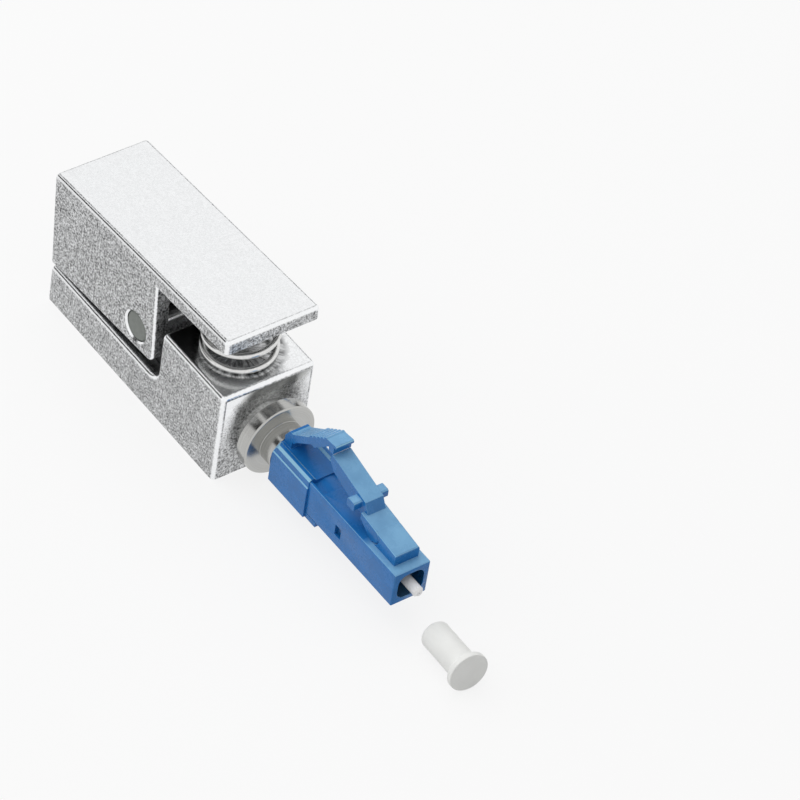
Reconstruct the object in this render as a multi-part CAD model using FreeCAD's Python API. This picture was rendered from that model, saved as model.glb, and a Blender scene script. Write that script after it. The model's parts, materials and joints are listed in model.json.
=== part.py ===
"""Square clamp adapter that ends a bare optical fibre in an LC plug.

Millimetres, +Z up, +X forward along the fibre axis towards the ferrule tip.
The origin is the centre of the housing's bottom face, straight below the hinge pin.
"""
import FreeCAD, Part
import math
import os

V = FreeCAD.Vector
X_AXIS = V(1, 0, 0)
Y_AXIS = V(0, 1, 0)
Z_AXIS = V(0, 0, 1)

# ---------------------------------------------------------------- clearances
SLIP = 0.05              # radial gap of a part that slides or turns on another
PRESSED = 0.02           # radial gap left at a pressed joint
SEAT_GAP = 0.05          # gap between parts that nearly touch
SIDE_GAP = 0.20          # gap beside a pad, a lug or an arm

# ---------------------------------------------------------------- die-cast housing
WIDTH = 12.0
LENGTH = 32.0
LEDGE_TOP = 5.0          # height of the long rear ledge
BLOCK_TOP = 12.2         # height of the front block
BLOCK_LENGTH = 11.4      # front block, from the step to the front face
STEP_ROOT_R = 1.6        # inner rounding where the step meets the ledge
EDGE_R = 0.6             # rounded outer edges of both castings
BASE_EDGE_R = 0.25       # rounding round the bottom face
FIBRE_Z = 6.0            # height of the fibre axis
CHANNEL_FLOOR = 2.45     # floor of the pad channel in the ledge
CHANNEL_CORNER_R = 0.4

# ---------------------------------------------------------------- hinge
PIN_R = 1.75
PIN_Z = 9.25             # height of the hinge pin above the base
PIN_END_INSET = 0.1      # each end of the pin lies this far inside the lever's side
PIN_CHAMFER = 0.2
LUG_R = 2.95             # rounded top of the hinge lug
REST_TILT = 3.8          # degrees, lever's nose up when the pads are clamped

# ---------------------------------------------------------------- press lever
LEVER_REAR = 16.35       # from the pin back to the rear wall's outer face
LEVER_FRONT = 16.05      # from the pin forward to the thumb plate's front edge
LEVER_TOP = 9.6          # from the pin up to the top face
LEVER_SKIRT = 2.8        # from the pin down to the side walls' lower edge
WALL_FRONT = 3.3         # from the pin forward to the side walls' front edge
WALL = 1.8               # side and rear walls
PLATE = 1.9              # top plate
SKIRT_ROUND = 0.35       # rounded outer edges of the lever's side walls
SKIRT_CORNER_R = 1.0     # front lower corner of the side walls
NOTCH_CORNER_R = 0.9     # rounded top corners of the rear notch
SPRING_POCKET = 0.5      # depth of the spring's recess under the plate

# ---------------------------------------------------------------- clamp pads
PAD_WIDTH = 7.0
PAD_LENGTH = 11.5
PAD_INSET = 0.25         # the lower pad's rear end lies this far inside the housing
UPPER_PAD_T = 2.2
FIBRE_GROOVE = 0.25      # depth of the guide groove in the lower pad

# ---------------------------------------------------------------- lever spring
SPRING_X = 10.2
SPRING_OD = 8.6
SPRING_WIRE = 0.7
SPRING_TURNS = 3.25      # one closed turn in all at the ends

# ---------------------------------------------------------------- collar and set screw
COLLAR_TUBE_R = 2.0
COLLAR_TUBE_LENGTH = 10.8
COLLAR_SHOULDER_R = 3.4
COLLAR_SHOULDER = 1.25   # length of the shoulder against the housing
DISC_R = 4.5
DISC = 1.75
DISC_CHAMFER = 0.15
STUB_R = 2.6
STUB = 1.8
NECK_R = 1.6
NECK = 1.7               # neck that reaches into the plug body
SCREW_X = 11.2
SCREW_R = 1.5
SCREW_LENGTH = 2.0
SCREW_CONE = 0.2         # countersink at the hole's mouth
SOCKET_AF = 1.5          # hexagon socket across flats
SOCKET_DEPTH = 1.0

# ---------------------------------------------------------------- fibre guide
GUIDE_R = 0.8
GUIDE_BORE_R = 0.35
GUIDE_OVERLAP = 0.25     # length of the guide tube inside the ferrule holder's tail
FUNNEL_R = 1.5
FUNNEL_FLANGE = 0.6
FUNNEL_LENGTH = 3.0
FUNNEL_R2 = 1.15         # funnel's barrel

# ---------------------------------------------------------------- plug body
BODY_HALF = 2.5          # half width of the plug body
BODY_BOTTOM = 2.9        # below the fibre axis
BODY_TOP = 2.5           # rails, above the fibre axis
BODY_LENGTH = 6.4
BODY_STEP = 0.15         # longitudinal step in each side
BODY_STEP_Z = 1.3
RAIL = 0.65              # width of the rails on top
RAIL_DEPTH = 0.3
TONGUE = 1.8             # bottom strip that runs on under the front housing
REAR_ROUND_R = 2.65      # round outline of the body's rear end
REAR_BEVEL = 1.2

# ---------------------------------------------------------------- front housing
FRONT = 4.5              # outside width and height
FRONT_LENGTH = 15.3
BARREL_R = 1.8           # round tail inside the plug body
BARREL = 4.6
PORT = 3.3               # rounded square opening for the ferrule
PORT_R = 1.1
PORT_DEPTH = 3.9
FERRULE_BORE_R = 1.3     # round bore behind the opening
CHAMBER_R = 1.5          # spring chamber
WINDOW_X = 5.5           # centre of the snap windows, from the housing's rear
WINDOW = 1.0
WINDOW_H = 1.4
WINDOW_DROP = 0.2        # the windows' middle lies this far below the fibre axis
POCKET = 2.2             # low rear part of the top face
POCKET_DEPTH = 0.5
POCKET_WALL = 0.3        # cheeks left beside it
BLOCK_SET_BACK = 1.25    # latch block, from the front face
BLOCK_RUN = 3.9          # length of the latch block
LATCH_W = 3.1
EDGE_SOFT = 0.15         # softened edges of the mouldings

# ---------------------------------------------------------------- latch arm
KNUCKLE_R = 0.92         # rounded root that stands for the latch's bending zone
KNUCKLE_SINK = 0.02      # the knuckle's socket just cuts the housing's top face
LATCH_FALL = 7.6         # degrees, the latch's top face falls towards the nose
LATCH_ROUND = 0.25       # rounded side edges of the latch's top face
ARM_W = 2.3
SHOULDER = 1.7           # from the root back to the foot of the step
STEP_RUN = 0.7           # the step leans back by this much
STEP_RISE = 1.3
SHOULDER_T = 0.7         # thickness of the shoulder at the step's foot
WEB_RUN = 0.65           # foot of the web under the shoulder, from the root
WEB_DROP = 0.78
LATCH_REACH = 8.6        # from the root to the tail's end
TAIL_TOP = 4.92          # tail's top above the front housing's top face
TAIL_LEAN = 0.3          # the tail's end face leans back by this much
TAIL_T = 0.85            # height of the tail's end face
HEEL_RUN = 0.65          # from the tail's end forward to the heel below it
HEEL_T = 2.0             # depth of the heel below the tail's top
ARM_SAG = 0.2            # the arm's underside dips by this much between step and heel
LUG_RUN = 1.3
LUG_H = 1.1
LUG_W = 4.4
LUG_ROUND = 0.3
LUG_SET = 2.85           # from the root to the lugs' front face
LUG_LIFT = 2.2           # lugs' underside above the front housing's top face

# ---------------------------------------------------------------- trigger
TRIGGER_W = 2.3
TRIGGER_POST = 1.4       # length of the upstand that carries it
TRIGGER_LIFT = 3.75      # height of its bending zone above the fibre axis
TRIGGER_KNUCKLE_R = 0.55
TRIGGER_REACH = 7.0      # from the bending zone to the tip's front face
TIP_RISE = 4.87          # tip's top above the bending zone
TIP_TOP_RUN = 1.6        # length of the flat tip
TIP_T = 0.4              # thickness of the tip's lip
TIP_FOOT_SET = 0.35      # the foot that presses the latch stands back from the tip's front
TIP_FOOT = 0.8           # length of that foot
TIP_FOOT_DROP = 1.35     # foot's underside below the tip's top
GRIP_T = 1.2             # thickness of the ridged part where it starts
GRIP_END_T = 0.8         # thickness of the ridged part at the tip
NECK_T = 0.85            # thickness of the slender part near the root
NECK_SHARE = 0.47        # share of the slope that is slender
RIDGES = 5
RIDGE = 0.2

# ---------------------------------------------------------------- ferrule and its spring
FERRULE_R = 0.6245
FERRULE_OUT = 1.55       # ferrule tip past the front face
FERRULE_WALL = 5.85      # full-size part of the ferrule
FERRULE_CHAMFER = 0.25
SPIGOT_R = 0.42          # rear end, pressed into the holder
SPIGOT = 1.0
HOLDER_R = 1.42
HOLDER = 1.5
HOLDER_TAIL_R = 0.98
HOLDER_TAIL = 1.2
FERRULE_HOLE_R = 0.063   # hole for the stripped fibre
COIL_WIRE = 0.28
COIL_OD = 2.7
COIL_TURNS = 6
STOP_R = 1.45            # spring stop behind the coil
STOP_BARB = 0.4

# ---------------------------------------------------------------- dust cap, lying in front
CAP_GAP = 3.7            # between the front face and the cap's open end
CAP_R = 1.65
CAP_BORE_R = 0.66
CAP_BORE = 4.8
CAP_LENGTH = 7.0
CAP_ROUND = 0.55         # rounding of the open end
CAP_SIDE = 0.85          # open end's distance from the plane of symmetry
CAP_TURN = 4.7           # degrees, the flange lies this far askew to the right
CAP_FLANGE_R = 2.3
CAP_FLANGE = 0.7
CAP_FLARE = 0.5

# ---------------------------------------------------------------- places worked out
HALF_W = WIDTH / 2
REAR_X = -LENGTH / 2
FRONT_X = LENGTH / 2
STEP_X = FRONT_X - BLOCK_LENGTH
LEVER_INNER_W = WIDTH - 2 * WALL
LUG_W_HINGE = LEVER_INNER_W - 2 * SIDE_GAP
PAD_REAR_X = REAR_X + PAD_INSET
PAD_FRONT_X = PAD_REAR_X + PAD_LENGTH
UPPER_PAD_TOP = FIBRE_Z + UPPER_PAD_T
DISC_X = FRONT_X + COLLAR_SHOULDER
STUB_X = DISC_X + DISC
BODY_X = STUB_X + STUB
BODY_END_X = BODY_X + BODY_LENGTH
PLUG_FRONT_X = BODY_END_X + FRONT_LENGTH
FRONT_TOP = FIBRE_Z + FRONT / 2
LATCH_ROOT_X = PLUG_FRONT_X - BLOCK_SET_BACK - BLOCK_RUN
LATCH_ROOT_Z = FRONT_TOP + KNUCKLE_R + SLIP - KNUCKLE_SINK
TRIGGER_X = BODY_X + TRIGGER_POST
TRIGGER_Z = FIBRE_Z + TRIGGER_LIFT
FERRULE_TIP_X = PLUG_FRONT_X + FERRULE_OUT
FLANGE_X = FERRULE_TIP_X - FERRULE_CHAMFER - FERRULE_WALL
HOLDER_X = FLANGE_X - HOLDER
CHAMBER_X = FLANGE_X     # shoulder that stops the holder


# ================================================================ small builders
def box(x0, x1, y0, y1, z0, z1):
    """Box between two corners."""
    return Part.makeBox(x1 - x0, y1 - y0, z1 - z0, V(x0, y0, z0))


def rod_x(radius, x0, x1, z=FIBRE_Z):
    """Round rod along X on the plane of symmetry."""
    return Part.makeCylinder(radius, x1 - x0, V(x0, 0, z), X_AXIS)


def rod_y(radius, x, z, y0, y1):
    """Round rod along Y."""
    return Part.makeCylinder(radius, y1 - y0, V(x, y0, z), Y_AXIS)


def slab_xz(points, y0, y1):
    """Closed outline in the XZ plane, given depth along Y."""
    wire = Part.makePolygon([V(x, y0, z) for x, z in points + points[:1]])
    return Part.Face(wire).extrude(V(0, y1 - y0, 0))


def slab_yz(points, x0, x1):
    """Closed outline in the YZ plane, given length along X."""
    wire = Part.makePolygon([V(x0, y, z) for y, z in points + points[:1]])
    return Part.Face(wire).extrude(V(x1 - x0, 0, 0))


def turned_x(profile, z=FIBRE_Z):
    """Half outline of (x, radius) points turned about the fibre axis."""
    wire = Part.makePolygon([V(x, 0, z + r) for x, r in profile + profile[:1]])
    return Part.Face(wire).revolve(V(0, 0, z), X_AXIS, 360)


def ends(edge):
    """The two end points of an edge."""
    return edge.Vertexes[0].Point, edge.Vertexes[-1].Point


def edges_where(shape, test):
    """Edges whose two ends both pass a test of their point."""
    return [e for e in shape.Edges if len(e.Vertexes) == 2 and all(test(p) for p in ends(e))]


def near(a, b):
    """True where two lengths are the same."""
    return abs(a - b) < 1e-4


def edges_along(shape, axis, test=None):
    """Straight edges parallel to an axis whose ends both pass a test, if one is given."""
    found = []
    for edge in edges_where(shape, test or (lambda p: True)):
        run = ends(edge)[1].sub(ends(edge)[0])
        if isinstance(edge.Curve, Part.Line) and near(run.cross(axis).Length, 0):
            found.append(edge)
    return found


def rounded_port(half, radius, x0, x1):
    """Square rod along X with rounded corners, on the fibre axis."""
    core = box(x0, x1, -half, half, FIBRE_Z - half, FIBRE_Z + half)
    return core.makeFillet(radius, edges_along(core, X_AXIS))


def coil(start, height, mean_r, wire_r, turns, along_x, lean=0.0):
    """Round-wire spring with closed ends, along Z or along X. Lean is the top coil's slope."""
    steps = int(turns * 24)
    path = []
    for i in range(steps + 1):
        share = coil_rise(i / steps, turns)
        angle = 2 * math.pi * turns * i / steps
        a = mean_r * math.cos(angle)
        b = mean_r * math.sin(angle)
        lift = wire_r + (height - 2 * wire_r + lean * a) * share
        path.append(start + (V(lift, b, a) if along_x else V(a, b, lift)))
    curve = Part.BSplineCurve()
    curve.interpolate(path)
    spine = Part.Wire(curve.toShape())
    tangent = curve.tangent(curve.FirstParameter)[0]
    ring = Part.Wire(Part.makeCircle(wire_r, path[0], tangent))
    return spine.makePipeShell([ring], True, True)


def coil_rise(t, turns):
    """Share of a spring's rise at a share of its length: flat for half a turn at each end."""
    dead = 0.5 / turns
    if t <= dead:
        return 0.0
    if t >= 1 - dead:
        return 1.0
    u = (t - dead) / (1 - 2 * dead)
    return u * u * (3 - 2 * u) * 0.25 + u * 0.75


# ================================================================ clamp
def housing():
    """Base casting: rear ledge, hinge lug, front block, pad channel and bores."""
    outline = [
        V(REAR_X, -HALF_W, 0), V(FRONT_X, -HALF_W, 0), V(FRONT_X, -HALF_W, BLOCK_TOP),
        V(STEP_X, -HALF_W, BLOCK_TOP), V(STEP_X, -HALF_W, LEDGE_TOP), V(REAR_X, -HALF_W, LEDGE_TOP),
    ]
    body = Part.Face(Part.makePolygon(outline + outline[:1])).extrude(V(0, WIDTH, 0))
    root = edges_along(body, Y_AXIS, lambda p: near(p.x, STEP_X) and near(p.z, LEDGE_TOP))
    body = body.makeFillet(STEP_ROOT_R, root)
    outer = edges_where(body, lambda p: near(abs(p.y), HALF_W) and p.z > LEDGE_TOP / 2)
    outer = [e for e in outer if near(ends(e)[0].y, ends(e)[1].y)]
    outer += edges_along(body, Z_AXIS, lambda p: near(abs(p.x), FRONT_X))
    outer += edges_along(body, Y_AXIS, lambda p: near(p.z, BLOCK_TOP))
    outer += edges_along(body, Y_AXIS, lambda p: near(p.x, REAR_X) and near(p.z, LEDGE_TOP))
    body = body.makeFillet(EDGE_R, unique_edges(outer))
    body = body.makeFillet(BASE_EDGE_R, edges_where(body, lambda p: near(p.z, 0)))
    body = body.fuse(hinge_lug())
    body = body.cut(pad_channel())
    body = body.cut(rod_x(COLLAR_TUBE_R + SLIP, FRONT_X - COLLAR_TUBE_LENGTH - SIDE_GAP, FRONT_X + 1))
    body = body.cut(rod_x(GUIDE_R + SLIP, PAD_FRONT_X - 1, FRONT_X))
    body = body.cut(rod_x(FUNNEL_R2 + SLIP, PAD_FRONT_X - 1, funnel_x() + FUNNEL_LENGTH))
    body = body.cut(rod_y(PIN_R + PRESSED, 0, PIN_Z, -HALF_W, HALF_W))
    return body.cut(screw_hole()).removeSplitter()


def unique_edges(edges):
    """The same edges, each once."""
    kept = []
    for edge in edges:
        if not any(edge.isSame(k) for k in kept):
            kept.append(edge)
    return kept


def hinge_lug():
    """Lug between the lever's walls that carries the pin, joined to the front block."""
    half = LUG_W_HINGE / 2
    foot = box(-LUG_R, STEP_X + 1, -half, half, CHANNEL_FLOOR, PIN_Z)
    return foot.fuse(rod_y(LUG_R, 0, PIN_Z, -half, half))


def pad_channel():
    """Open channel in the ledge for the lower pad, from the rear face to the lug."""
    half = PAD_WIDTH / 2 + SIDE_GAP / 2
    slot = box(REAR_X - 1, PAD_FRONT_X + SEAT_GAP, -half, half, CHANNEL_FLOOR, BLOCK_TOP)
    return slot.makeFillet(CHANNEL_CORNER_R, edges_along(slot, X_AXIS, lambda p: near(p.z, CHANNEL_FLOOR)))


def screw_hole():
    """Hole for the set screw, from the left side into the collar's bore."""
    hole = rod_y(SCREW_R, SCREW_X, FIBRE_Z, 0, HALF_W + 1)
    mouth = Part.makeCone(SCREW_R, SCREW_R + SCREW_CONE, SCREW_CONE, V(SCREW_X, HALF_W - SCREW_CONE, FIBRE_Z), Y_AXIS)
    return hole.fuse(mouth)


def tilt_to_rest(shape):
    """Carry a shape from the lever's own frame, level on the pin, to its clamped pose."""
    shape.translate(V(0, 0, PIN_Z))
    shape.rotate(V(0, 0, PIN_Z), Y_AXIS, -REST_TILT)
    return shape


def lever():
    """Press lever: thumb plate, two side walls, rear wall, pad seat and pin holes."""
    outline = [
        V(-LEVER_REAR, -HALF_W, -LEVER_SKIRT), V(WALL_FRONT, -HALF_W, -LEVER_SKIRT),
        V(WALL_FRONT, -HALF_W, LEVER_TOP - PLATE), V(LEVER_FRONT, -HALF_W, LEVER_TOP - PLATE),
        V(LEVER_FRONT, -HALF_W, LEVER_TOP), V(-LEVER_REAR, -HALF_W, LEVER_TOP),
    ]
    body = Part.Face(Part.makePolygon(outline + outline[:1])).extrude(V(0, WIDTH, 0))
    corner = edges_along(body, Y_AXIS, lambda p: near(p.x, WALL_FRONT) and near(p.z, -LEVER_SKIRT))
    body = body.makeFillet(SKIRT_CORNER_R, corner)
    top = edges_where(body, lambda p: near(p.z, LEVER_TOP))
    upright = edges_along(body, Z_AXIS, lambda p: near(p.x, -LEVER_REAR) or near(p.x, LEVER_FRONT))
    body = body.makeFillet(EDGE_R, unique_edges(top + upright))
    skirt = edges_where(body, lambda p: near(abs(p.y), HALF_W) and p.z < LEVER_TOP - PLATE + 0.01)
    body = body.makeFillet(SKIRT_ROUND, [e for e in skirt if near(ends(e)[0].y, ends(e)[1].y)])
    body = body.cut(lever_hollow()).fuse(pad_seat())
    body = body.cut(spring_pocket())
    body = body.cut(rod_y(PIN_R + SLIP, 0, 0, -HALF_W - 1, HALF_W + 1))
    for side in (-1, 1):
        mouth = Part.makeCone(PIN_R + SLIP, PIN_R + SLIP + PIN_CHAMFER, PIN_CHAMFER,
                              V(0, side * (HALF_W - PIN_CHAMFER), 0), V(0, side, 0))
        body = body.cut(mouth)
    body = tilt_to_rest(body)
    return body.cut(pad_room()).cut(rear_notch()).removeSplitter()


def lever_hollow():
    """Space between the lever's walls, open below and in front."""
    half = LEVER_INNER_W / 2
    return box(-LEVER_REAR + WALL, WALL_FRONT + 1, -half, half, -LEVER_SKIRT - 1, LEVER_TOP - PLATE)


def pad_seat():
    """Solid boss under the plate that backs the upper pad."""
    half = PAD_WIDTH / 2
    front = PAD_FRONT_X - SIDE_GAP
    return box(-LEVER_REAR + WALL / 2, front, -half, half, -LEVER_SKIRT + 1, LEVER_TOP - PLATE / 2)


def spring_pocket():
    """Shallow round recess under the plate for the spring's top coil."""
    radius = SPRING_OD / 2 + SIDE_GAP
    under = LEVER_TOP - PLATE
    tilt = math.radians(REST_TILT)
    along = SPRING_X * math.cos(tilt) + under * math.sin(tilt)
    return Part.makeCylinder(radius, SPRING_POCKET + 1, V(along, 0, under - 1), Z_AXIS)


def pad_room():
    """Everything below the upper pad's seat, between the lever's walls."""
    half = LEVER_INNER_W / 2
    return box(-LEVER_REAR + WALL, 0, -half, half, 0, UPPER_PAD_TOP)


def rear_notch():
    """Notch in the rear wall where the pads show, with rounded top corners."""
    half = PAD_WIDTH / 2 + SIDE_GAP
    slot = box(-LEVER_REAR - 2, -LEVER_REAR + WALL + 1, -half, half, 0, UPPER_PAD_TOP)
    return slot.makeFillet(NOTCH_CORNER_R, edges_along(slot, X_AXIS, lambda p: near(p.z, UPPER_PAD_TOP)))


def hinge_pin():
    """Plain pin, pressed into the lug, that the lever turns on."""
    half = HALF_W - PIN_END_INSET
    pin = rod_y(PIN_R, 0, PIN_Z, -half, half)
    rims = [e for e in pin.Edges if isinstance(e.Curve, Part.Circle)]
    return pin.makeChamfer(PIN_CHAMFER, rims)


def lower_pad():
    """Elastic pad in the housing's channel, with a shallow groove for the fibre."""
    half = PAD_WIDTH / 2
    pad = box(PAD_REAR_X, PAD_FRONT_X, -half, half, CHANNEL_FLOOR, FIBRE_Z)
    pad = pad.makeChamfer(CHANNEL_CORNER_R, edges_along(pad, X_AXIS, lambda p: near(p.z, CHANNEL_FLOOR)))
    groove = slab_yz([(-FIBRE_GROOVE, FIBRE_Z), (0, FIBRE_Z - FIBRE_GROOVE), (FIBRE_GROOVE, FIBRE_Z)],
                     PAD_REAR_X, PAD_FRONT_X)
    return pad.cut(groove)


def upper_pad():
    """Elastic pad under the lever that presses the fibre down, filling the rear notch."""
    half = PAD_WIDTH / 2
    pad = box(PAD_REAR_X - PAD_INSET, PAD_FRONT_X - SIDE_GAP, -half, half, FIBRE_Z, UPPER_PAD_TOP)
    return pad.makeFillet(NOTCH_CORNER_R, edges_along(pad, X_AXIS, lambda p: near(p.z, UPPER_PAD_TOP)))


def lever_spring():
    """Compression spring on the front block that holds the lever's nose up."""
    mean_r = (SPRING_OD - SPRING_WIRE) / 2
    tilt = math.radians(REST_TILT)
    under = LEVER_TOP - PLATE + SPRING_POCKET - SEAT_GAP
    height = PIN_Z + under / math.cos(tilt) + SPRING_X * math.tan(tilt) - BLOCK_TOP
    seat = V(SPRING_X, 0, BLOCK_TOP)
    return coil(seat, height, mean_r, SPRING_WIRE / 2, SPRING_TURNS, False, math.tan(tilt))


# ================================================================ collar and guide
def collar():
    """Turned collar: tail tube in the housing, shoulder, disc, stub and neck, bored through."""
    tail = FRONT_X - COLLAR_TUBE_LENGTH
    bore = GUIDE_R + SLIP
    c = DISC_CHAMFER
    profile = [
        (tail, bore), (tail, COLLAR_TUBE_R - c), (tail + c, COLLAR_TUBE_R),
        (FRONT_X, COLLAR_TUBE_R), (FRONT_X, COLLAR_SHOULDER_R), (DISC_X, COLLAR_SHOULDER_R),
        (DISC_X, DISC_R - c), (DISC_X + c, DISC_R), (STUB_X - c, DISC_R), (STUB_X, DISC_R - c),
        (STUB_X, STUB_R), (BODY_X, STUB_R), (BODY_X, NECK_R), (BODY_X + NECK, NECK_R), (BODY_X + NECK, bore),
    ]
    return turned_x(profile)


def set_screw():
    """Headless screw with a hexagon socket that bears on the collar's tube."""
    y0 = COLLAR_TUBE_R
    y1 = y0 + SCREW_LENGTH
    screw = rod_y(SCREW_R - SLIP, SCREW_X, FIBRE_Z, y0, y1)
    across = SOCKET_AF / math.sqrt(3)
    hexagon = [V(SCREW_X + across * math.cos(math.radians(60 * k)), y1 - SOCKET_DEPTH,
                 FIBRE_Z + across * math.sin(math.radians(60 * k))) for k in range(6)]
    socket = Part.Face(Part.makePolygon(hexagon + hexagon[:1])).extrude(V(0, SOCKET_DEPTH + 1, 0))
    return screw.cut(rod_x(COLLAR_TUBE_R, STEP_X, FRONT_X)).cut(socket)


def funnel_x():
    """Rear face of the funnel's flange, just in front of the pads."""
    return PAD_FRONT_X + SEAT_GAP


def guide_funnel():
    """Moulded funnel in the lug that leads the fibre from the pads into the tube."""
    x0 = funnel_x() + SEAT_GAP
    x1 = x0 + FUNNEL_LENGTH - SIDE_GAP
    hole = GUIDE_BORE_R
    profile = [(x0, FUNNEL_R2 - SIDE_GAP), (x0, FUNNEL_R2), (x1, FUNNEL_R2), (x1, hole), (x0 + 1.2, hole)]
    return turned_x(profile)


def guide_tube():
    """Thin steel tube from the funnel through the collar to the ferrule holder."""
    x0 = funnel_x() + FUNNEL_LENGTH
    x1 = HOLDER_X - HOLDER_TAIL + GUIDE_OVERLAP
    return rod_x(GUIDE_R, x0, x1).cut(rod_x(GUIDE_BORE_R, x0 - 1, x1 + 1))


# ================================================================ plug
def body_section():
    """Half-symmetric outline of the plug body in the YZ plane."""
    top = FIBRE_Z + BODY_TOP
    right = [
        (BODY_HALF, FIBRE_Z - BODY_BOTTOM), (BODY_HALF, FIBRE_Z + BODY_STEP_Z),
        (BODY_HALF - BODY_STEP, FIBRE_Z + BODY_STEP_Z + BODY_STEP), (BODY_HALF - BODY_STEP, top - 0.3),
        (BODY_HALF - BODY_STEP - 0.3, top), (BODY_HALF - BODY_STEP - RAIL, top),
        (BODY_HALF - BODY_STEP - RAIL - RAIL_DEPTH, top - RAIL_DEPTH),
    ]
    return right + [(-y, z) for y, z in reversed(right)]


def rear_body():
    """Rear moulding of the plug, over the collar's neck, with rails, tongue and trigger root."""
    shell = slab_yz(body_section(), BODY_X, BODY_END_X)
    cone = Part.makeCone(REAR_ROUND_R, REAR_ROUND_R + REAR_BEVEL, REAR_BEVEL, V(BODY_X, 0, FIBRE_Z), X_AXIS)
    low = box(BODY_X, BODY_X + REAR_BEVEL, -HALF_W, HALF_W, FIBRE_Z - BODY_BOTTOM, FIBRE_Z)
    ahead = box(BODY_X + REAR_BEVEL, BODY_END_X, -HALF_W, HALF_W, 0, BLOCK_TOP)
    shell = shell.common(cone.fuse(low).fuse(ahead))
    tongue_half = FRONT / 2
    tongue = box(BODY_END_X - 1, BODY_END_X + TONGUE, -tongue_half, tongue_half,
                 FIBRE_Z - BODY_BOTTOM, FIBRE_Z - FRONT / 2)
    shell = shell.fuse(tongue).fuse(trigger_block())
    shell = shell.cut(rod_x(NECK_R + SLIP, BODY_X - 1, BODY_END_X + 1))
    shell = shell.cut(rod_x(BARREL_R + SLIP, BODY_END_X - BARREL - SEAT_GAP, BODY_END_X + 1))
    return shell.removeSplitter()


def trigger_block():
    """Upstand at the rear of the body that the trigger springs from."""
    half = TRIGGER_W / 2
    low = FIBRE_Z + BODY_TOP - 2 * RAIL_DEPTH
    top = TRIGGER_Z + TRIGGER_KNUCKLE_R
    rear = BODY_X + EDGE_SOFT
    outline = [
        (rear, low), (TRIGGER_X, low), (TRIGGER_X, top),
        (TRIGGER_X - TRIGGER_KNUCKLE_R, top), (rear, TRIGGER_Z - TRIGGER_KNUCKLE_R),
    ]
    block = slab_xz(outline, -half, half)
    return block.cut(rod_y(TRIGGER_KNUCKLE_R + SLIP, TRIGGER_X, TRIGGER_Z, -half - 1, half + 1))


def front_housing():
    """Front moulding: square nose with windows and latch block, and a round tail."""
    half = FRONT / 2
    nose = box(BODY_END_X, PLUG_FRONT_X, -half, half, FIBRE_Z - half, FRONT_TOP)
    front_edges = edges_where(nose, lambda p: near(p.x, PLUG_FRONT_X))
    nose = nose.makeFillet(EDGE_SOFT, unique_edges(edges_along(nose, X_AXIS) + front_edges))
    tail = rod_x(BARREL_R, BODY_END_X - BARREL, BODY_END_X + 1)
    part = nose.fuse(tail).cut(top_pocket()).fuse(latch_block())
    part = part.cut(rounded_port(PORT / 2, PORT_R, PLUG_FRONT_X - PORT_DEPTH, PLUG_FRONT_X + 1))
    part = part.cut(rod_x(FERRULE_BORE_R, CHAMBER_X - 1, PLUG_FRONT_X))
    part = part.cut(rod_x(CHAMBER_R, BODY_END_X - BARREL - 1, CHAMBER_X))
    window_x = BODY_END_X + WINDOW_X
    window_z = FIBRE_Z - WINDOW_DROP
    part = part.cut(box(window_x - WINDOW / 2, window_x + WINDOW / 2, -half - 1, half + 1,
                        window_z - WINDOW_H / 2, window_z + WINDOW_H / 2))
    return part.removeSplitter()


def top_pocket():
    """Low rear part of the top face, under the latch's tail, between two cheeks."""
    half = FRONT / 2 - POCKET_WALL
    pocket = box(BODY_END_X - 1, BODY_END_X + POCKET, -half, half, FRONT_TOP - POCKET_DEPTH, FRONT_TOP + 1)
    crown = FRONT_TOP - POCKET_DEPTH / 2
    bulge_r = 3.0
    bulge = Part.makeCylinder(bulge_r, POCKET + 1, V(BODY_END_X - 1, 0, crown - bulge_r), X_AXIS)
    return pocket.cut(bulge)


def latch_top(x):
    """Height of the latch's sloping top face at a place along X."""
    slope = math.radians(LATCH_FALL)
    return LATCH_ROOT_Z + KNUCKLE_R / math.cos(slope) - (x - LATCH_ROOT_X) * math.tan(slope)


def side_tops(shape, half):
    """Side edges of the sloping top face."""
    found = edges_where(shape, lambda p: near(p.z, latch_top(p.x)) and near(abs(p.y), half))
    return [e for e in found if near(ends(e)[0].y, ends(e)[1].y)]


def latch_block():
    """Block near the nose that the latch arm springs from, sloping down to a rounded front."""
    half = LATCH_W / 2
    x1 = PLUG_FRONT_X - BLOCK_SET_BACK
    base = FRONT_TOP - POCKET_DEPTH / 2
    block = slab_xz([
        (LATCH_ROOT_X, base), (x1, base), (x1, latch_top(x1)), (LATCH_ROOT_X, latch_top(LATCH_ROOT_X)),
    ], -half, half)
    front = edges_along(block, Y_AXIS, lambda p: near(p.x, x1) and p.z > FRONT_TOP)
    block = block.makeFillet(LATCH_ROUND, side_tops(block, half) + front)
    return block.cut(rod_y(KNUCKLE_R + SLIP, LATCH_ROOT_X, LATCH_ROOT_Z, -half - 1, half + 1))


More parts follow.
